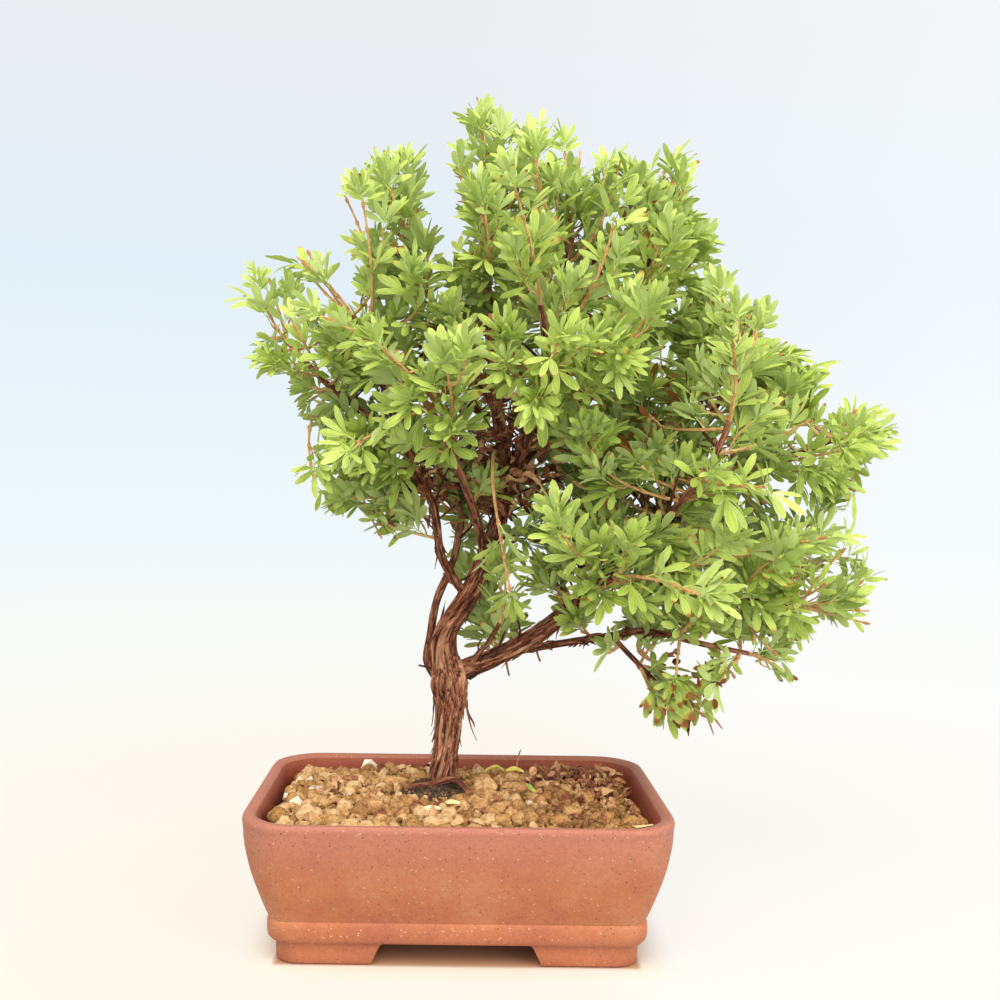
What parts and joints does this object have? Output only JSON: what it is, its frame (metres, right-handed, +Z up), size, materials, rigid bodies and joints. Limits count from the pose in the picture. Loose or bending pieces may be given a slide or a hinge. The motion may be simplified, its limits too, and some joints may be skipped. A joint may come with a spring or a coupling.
{
  "type": "potted shrub bonsai",
  "caption": "Bonsai of a shrubby cinquefoil with a slanting crown of small palmate leaves, in a footed rectangular clay pot.",
  "frame": {"origin": "middle of the bounding box's foot, on the surface that the pot's feet stand on; the pot's own middle is 46 mm to -X of it, because the crown leans to +X", "axes": "+Z up; +X to the side that the crown leans to, along the pot's length; +Y to the pot's back, away from the viewer"},
  "size_m": [0.3068, 0.215, 0.3643],
  "materials": {
    "red_clay": "unglazed, fine-speckled red-brown clay",
    "akadama": "dry ochre clay granules",
    "peat": "dark fibrous compost",
    "bark": "shaggy, peeling red-brown bark",
    "leaf": "soft matt leaf with pale margins",
    "dark_plastic": "moulded mesh"
  },
  "bodies": {
    "root": {"drain_mesh_left": "dark_plastic", "drain_mesh_right": "dark_plastic", "pot": "red_clay", "root_ball": "peat", "soil": "akadama", "spray_01": "leaf", "spray_02": "leaf", "spray_03": "leaf", "spray_04": "leaf", "spray_05": "leaf", "spray_06": "leaf", "spray_07": "leaf", "spray_08": "leaf", "spray_09": "leaf", "spray_10": "leaf", "spray_11": "leaf", "spray_12": "leaf", "spray_13": "leaf", "spray_14": "leaf", "spray_15": "leaf", "spray_16": "leaf", "spray_17": "leaf", "spray_18": "leaf", "spray_19": "leaf", "spray_20": "leaf", "spray_21": "leaf", "spray_22": "leaf", "spray_23": "leaf", "spray_24": "leaf", "spray_25": "leaf", "spray_26": "leaf", "spray_27": "leaf", "spray_28": "leaf", "spray_29": "leaf", "spray_30": "leaf", "spray_31": "leaf", "spray_32": "leaf", "spray_33": "leaf", "spray_34": "leaf", "spray_35": "leaf", "spray_36": "leaf", "spray_37": "leaf", "spray_38": "leaf", "spray_39": "leaf", "spray_40": "leaf", "spray_41": "leaf", "spray_42": "leaf", "spray_43": "leaf", "spray_44": "leaf", "spray_45": "leaf", "spray_46": "leaf", "spray_47": "leaf", "spray_48": "leaf", "spray_49": "leaf", "spray_50": "leaf", "spray_51": "leaf", "spray_52": "leaf", "spray_53": "leaf", "spray_54": "leaf", "trunk": "bark"}
  },
  "joints": []
}
